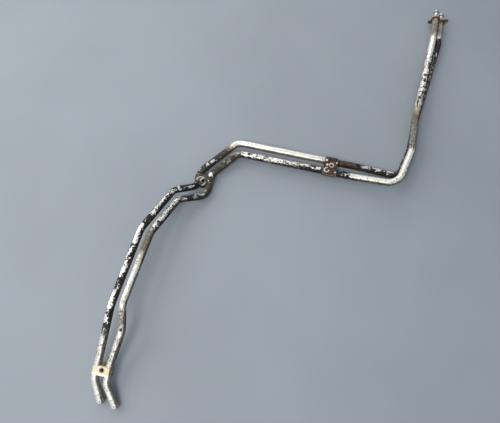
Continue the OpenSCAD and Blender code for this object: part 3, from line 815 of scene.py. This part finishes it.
def softened(node, name, width, material, slot, body):
    """A solid's own shape with its hard edges rounded off to width mm.

    Its triangles are joined at their shared points and merged where they are flat.
    """
    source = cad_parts[node].data
    points = np.empty(len(source.vertices) * 3)
    source.vertices.foreach_get("co", points)
    corner = np.empty(len(source.loops), int)
    source.loops.foreach_get("vertex_index", corner)
    places, merged = np.unique(points.reshape(-1, 3).round(7), axis=0, return_inverse=True)
    mesh = bpy.data.meshes.new(name)
    mesh.from_pydata(places, [], merged.reshape(-1)[corner].reshape(-1, 3))
    shape = bmesh.new()
    shape.from_mesh(mesh)
    bmesh.ops.remove_doubles(shape, verts=shape.verts, dist=weld_distance)
    bmesh.ops.dissolve_limit(
        shape, angle_limit=flat_within, verts=shape.verts, edges=shape.edges)
    shape.to_mesh(mesh)
    shape.free()
    mesh.polygons.foreach_set("use_smooth", np.ones(len(mesh.polygons), bool))
    piece = show(mesh, material, slot, body, node)
    rounding = piece.modifiers.new("rounded_edges", "BEVEL")
    rounding.width = width * mm
    rounding.segments = edge_steps
    rounding.limit_method = "ANGLE"
    rounding.angle_limit = edge_from
    rounding.harden_normals = True


flange_dark, flange_brown, rust_pit = rgb(48, 33, 26), rgb(92, 62, 44), rgb(28, 21, 18)
fresh_rust, pale_grit = rgb(132, 88, 58), rgb(168, 118, 84)


def scaled_rust_finish():
    """Brown scale in patches, with fresh rust, pale grit and dark pits."""
    finish = Finish("scaled_rust_finish")
    at = finish.place()
    patches = finish.noise(at, 170, 6, 0.68, 0.6)
    scale = finish.noise(at, 520, 5, 0.7, 0.4)
    grit = finish.noise(at, 2100, 3, 0.7)
    brown = finish.blend(patches.step(0.38, 0.6), flange_dark, flange_brown)
    brown = finish.blend(scale.step(0.52, 0.68) * 0.8, brown, fresh_rust)
    brown = finish.blend(grit.step(0.62, 0.72) * 0.6, brown, pale_grit)
    brown = finish.blend((1 - scale).step(0.58, 0.7), brown, rust_pit)
    relief = scale * 0.9 + grit * 0.35 + patches * 0.6
    return finish.done(brown, 0.78 + grit * 0.18, 0.0, relief, 0.0007)


softened("end_flange", "end_flange_plate", flange_edge, scaled_rust_finish(),
         "flange_steel", "flange")

# The hose-end clip's cover: a cream nylon moulding that seats on top of both tubes and takes the
# bolt. It has yellowed, is stained green along one end and tan along the other, and grime has
# gathered round the bolt hole and in its corners.
clip_hole, hole_grime_reach = (-0.2962, -0.48935, 0.04038), 0.0058
smear_place, smear_reach = (-0.2948, -0.4862, 0.0405), 0.0085
green_end_x, tan_end_x, pale_edge_y = (-0.3155, -0.3025), (-0.2925, -0.2795), (-0.4985, -0.4945)
cover_edge = 0.9
cover_fresh, cover_aged = rgb(228, 219, 190), rgb(212, 197, 158)
cover_green, cover_tan, cover_pale = rgb(206, 205, 168), rgb(206, 184, 140), rgb(246, 240, 222)
cover_soil, cover_grime, cover_specks = rgb(150, 132, 96), rgb(122, 100, 66), rgb(96, 82, 60)
nylon_scratch = rgb(196, 180, 146)


def aged_nylon_finish(name, fresh, aged, dirt_amount):
    """Moulded nylon from fresh to aged, scratched: its finish, place, colour, masks and relief."""
    finish = Finish(name)
    at = finish.place()
    clouds = finish.noise(at, 95, 5, 0.6, 0.3)
    fine = finish.noise(at, 700, 4, 0.65)
    grain = finish.noise(at, 2600, 2, 0.5)
    nylon = finish.blend((clouds + (fine - 0.5) * 0.3).step(0.34, 0.66), fresh, aged)
    scratches = finish.noise(finish.stretched(at, (1.0, 0.09, 0.6)), 900, 2, 0.5).step(0.64, 0.69)
    nylon = finish.blend(scratches * 0.35, nylon, nylon_scratch)
    soil = ((clouds - 0.5) * 1.2 + (fine - 0.5) * 0.9 + dirt_amount).step(0.2, 0.9)
    specks = fine.step(0.66, 0.71)
    relief = grain * 0.35 + scratches * 0.5 + fine * 0.3
    return finish, at, nylon, soil, specks, relief


def clip_cover_finish():
    """Aged nylon, green and tan at its ends, pale at its lower edge, grimy round the hole."""
    finish, at, nylon, soil, specks, relief = aged_nylon_finish(
        "clip_cover_finish", cover_fresh, cover_aged, dirt_amount=0.08)
    from_left = finish.node("ShaderNodeSeparateXYZ", None, {0: at}, output=0)
    up_slope = finish.node("ShaderNodeSeparateXYZ", None, {0: at}, output=1)
    green_end = 1 - from_left.step(*green_end_x)
    tan_end = from_left.step(*tan_end_x)
    pale_edge = 1 - up_slope.step(*pale_edge_y)
    nylon = finish.blend(green_end * 0.55, nylon, cover_green)
    nylon = finish.blend(tan_end * 0.6, nylon, cover_tan)
    nylon = finish.blend(pale_edge * 0.7, nylon, cover_pale)
    rim = finish.near(at, clip_hole, hole_grime_reach, 0.0035)
    smear = finish.near(at, smear_place, smear_reach, 0.008) * 0.5
    nylon = finish.blend(soil * 0.45, nylon, cover_soil)
    nylon = finish.blend((rim * 0.75 + smear * soil).step(0.0, 1.0), nylon, cover_grime)
    nylon = finish.blend(specks * 0.6, nylon, cover_specks)
    return finish.done(nylon, 0.40 + soil * 0.25, 0.0, relief, 0.00018)


softened("hose_clip_cover", "clip_cover_moulding", cover_edge, clip_cover_finish(),
         "clip_plastic", "pipes")

# The saddle under the cover: thin strip steel, pressed round both tubes, with a bent-up tongue
# that hooks over the cover's end. Its plating is gone and it has rusted to an even brown.
steel_rust_dark, steel_rust_light = rgb(84, 56, 42), rgb(134, 96, 72)
oil_black, pale_flecks = rgb(34, 31, 26), rgb(176, 164, 148)
saddle_edge = 0.3


def worn_steel_finish(name, dark, light, bare, rust_amount, oil, marks=()):
    """Pressed steel: dark to light coating, bare metal at marks, rust and oily dirt.

    Each mark is a place, its reach and softness in metres, and how bare it is. One with a fifth
    value is a ring that wide.
    """
    finish = Finish(name)
    at = finish.place()
    clouds = finish.noise(at, 130, 6, 0.65, 0.5)
    fine = finish.noise(at, 640, 5, 0.68)
    grit = finish.noise(at, 2300, 3, 0.65)
    coat = finish.blend((clouds + (fine - 0.5) * 0.5).step(0.36, 0.66), dark, light)
    rust = (clouds * 0.6 + fine * 0.5 + rust_amount - 0.55).step(0.0, 0.28)
    coat = finish.blend(rust, coat, finish.blend(grit, steel_rust_dark, steel_rust_light))
    worn = 0
    for place, reach, soft, amount, *width in marks:
        mark = finish.near(at, place, reach, soft)
        if width:
            mark = mark * (1 - finish.near(at, place, reach - width[0], soft))
        worn = mark * amount + worn
    worn = ((worn + (fine - 0.5) * 0.6) - 0.05).step(0.2, 0.55) if marks else 0.0
    coat = finish.blend(worn, coat, bare)
    film = (1 - clouds + (fine - 0.5) * 0.7 + oil - 0.5).step(0.2, 0.75)
    coat = finish.blend(film * (1 - worn) * 0.7, coat, oil_black)
    flecks = fine.step(0.665, 0.70) * 0.6
    coat = finish.blend(flecks, coat, pale_flecks)
    roughness = 0.42 + rust * 0.34 + film * 0.1 + grit * 0.08
    relief = fine * 0.5 + grit * 0.25 + rust * fine * 0.6
    metallic = (1 - rust) * (1 - film * 0.7) * 0.35 + worn * 0.4
    return finish.done(coat, roughness, metallic, relief, 0.0004)


clip_colours = rgb(58, 50, 38), rgb(90, 77, 58), rgb(176, 160, 140)
clip_steel = worn_steel_finish("clip_steel_finish", *clip_colours, rust_amount=0.0, oil=0.15)
softened("hose_clip_base", "clip_saddle_pressing", saddle_edge, clip_steel,
         "clip_steel", "pipes")

# The middle bracket: two steel pressings with nylon liners, closed on the tubes by a flared
# tubular rivet through which the bolt goes. It is black with oily dirt, and a pale ring shows
# where the bolt's washer has worn through it.
washer_place = (-0.2030, -0.0408, 0.0203)
mid_marks = [
    (washer_place, 0.0116, 0.0008, 0.95, 0.0016),
    ((-0.2102, -0.0214, 0.0200), 0.0032, 0.0035, 1.1),
    ((-0.1866, -0.0224, 0.0205), 0.0030, 0.0020, 1.6),
    ((-0.1862, -0.0355, 0.0205), 0.0014, 0.0012, 1.3),
    ((-0.1846, -0.0440, 0.0200), 0.0016, 0.0012, 1.0),
]
bracket_edge, liner_edge = 0.4, 0.2
mid_colours = rgb(48, 45, 38), rgb(74, 69, 58), rgb(206, 202, 192)
mid_steel = worn_steel_finish("mid_bracket_finish", *mid_colours,
                              rust_amount=0.0, oil=0.42, marks=mid_marks)

liner_soil, liner_specks = rgb(74, 64, 50), rgb(52, 45, 36)


def liner_finish(name, fresh, aged, dirt_amount):
    """Aged nylon under oily soil and specks."""
    finish, _, nylon, soil, specks, relief = aged_nylon_finish(name, fresh, aged, dirt_amount)
    nylon = finish.blend(soil * 0.85, nylon, liner_soil)
    nylon = finish.blend(specks * 0.7, nylon, liner_specks)
    return finish.done(nylon, 0.46 + soil * 0.3, 0.0, relief, 0.00018)


mid_liner_colours = rgb(186, 176, 152), rgb(140, 126, 98)
mid_nylon = liner_finish("mid_liner_finish", *mid_liner_colours, dirt_amount=0.42)


def lined_bracket(place, steel, nylon):
    """A bracket's upper and lower pressing, and the liners round its two tubes."""
    for node, name in (("plate", "top"), ("strap", "bottom")):
        softened(f"{place}_bracket_{node}", f"{place}_bracket_{name}", bracket_edge, steel,
                 f"{place}_bracket_steel", "pipes")
    for tube in ("feed", "return"):
        softened(f"{place}_liner_{tube}", f"{place}_nylon_{tube}", liner_edge, nylon,
                 "liner_nylon", "pipes")


lined_bracket("mid", mid_steel, mid_nylon)

eyelet_bore_r, eyelet_shank_r, eyelet_head_r = 3.2, 4.2, 6.5
eyelet_foot, eyelet_seat, eyelet_top = -10.28, 10.43, 11.45
eyelet_edge = 0.5
mid_eyelet_place, upright = (-198.5, -38.5, 10.5), (0, 0, 1)


def eyelet_outline(head_lift):
    """Half the section of a flared tubular rivet, (radius, height) in mm, with rolled edges."""
    return eased([
        (eyelet_bore_r, eyelet_foot), (eyelet_shank_r, eyelet_foot),
        (eyelet_shank_r, eyelet_seat), (6.1, eyelet_seat), (eyelet_head_r, 10.8),
        (6.2, eyelet_top), (4.6, eyelet_top + head_lift), (3.7, 11.3), (eyelet_bore_r, 10.5),
    ], eyelet_edge)


mid_eyelet_marks = [
    ((-0.2040, -0.0375, 0.0220), 0.0030, 0.003, 1.3),
    ((-0.2010, -0.0330, 0.0220), 0.0024, 0.002, 1.2),
]
mid_eyelet_colours = rgb(52, 48, 41), rgb(88, 80, 68), rgb(198, 190, 176)
mid_eyelet_mesh = turned("mid_flared_rivet", eyelet_outline(head_lift=0.15),
                         mid_eyelet_place, across, upright)
mid_eyelet_steel = worn_steel_finish("mid_rivet_finish", *mid_eyelet_colours,
                                     rust_amount=0.02, oil=0.35, marks=mid_eyelet_marks)
show(mid_eyelet_mesh, mid_eyelet_steel, "eyelet_steel", "pipes", "mid_eyelet")

# The run bracket: a longer pair of pressings on the straight run, with nylon liners that stand out
# a little at both ends, a flared rivet for the bolt, and two small rivets that close the pair. It
# has rusted brown-black, and its rivets and the raised ring over the return tube are worn pale.
run_marks = [
    ((0.0812, 0.0487, 0.0274), 0.0066, 0.0008, 1.5, 0.0024),
    ((0.0868, 0.0530, 0.0268), 0.0036, 0.0030, -2.5),
    ((0.0778, 0.0733, 0.0265), 0.0026, 0.0016, 1.5),
    ((0.1022, 0.0705, 0.0262), 0.0020, 0.0016, 1.0),
    ((0.1018, 0.0465, 0.0262), 0.0016, 0.0014, 1.0),
]
run_colours = rgb(40, 32, 27), rgb(64, 50, 41), rgb(222, 214, 198)
run_steel = worn_steel_finish("run_bracket_finish", *run_colours,
                              rust_amount=0.05, oil=0.28, marks=run_marks)
run_liner_colours = rgb(158, 138, 124), rgb(112, 94, 82)
run_nylon = liner_finish("run_liner_finish", *run_liner_colours, dirt_amount=0.35)
lined_bracket("run", run_steel, run_nylon)

run_eyelet_place = (91.0, 62.0, 16.08)
run_eyelet_marks = [((0.0890, 0.0640, 0.0278), 0.0050, 0.004, 0.8)]
run_eyelet_colours = rgb(150, 132, 118), rgb(194, 176, 162), rgb(214, 200, 188)
run_eyelet_mesh = turned("run_flared_rivet", eyelet_outline(head_lift=0.25),
                         run_eyelet_place, across, upright)
run_eyelet_steel = worn_steel_finish("run_rivet_finish", *run_eyelet_colours,
                                     rust_amount=-0.12, oil=-0.12, marks=run_eyelet_marks)
show(run_eyelet_mesh, run_eyelet_steel, "eyelet_steel", "pipes", "run_eyelet")

closing_marks = [((0.0816, 0.0620, 0.0276), 0.0032, 0.0015, 1.6)]
closing_edge = 0.3
closing_colours = rgb(70, 54, 45), rgb(108, 86, 72), rgb(238, 234, 226)
closing_steel = worn_steel_finish("closing_rivet_finish", *closing_colours,
                                  rust_amount=0.02, oil=0.1, marks=closing_marks)
softened("run_rivets", "run_closing_rivets", closing_edge, closing_steel,
         "rivet_steel", "pipes")
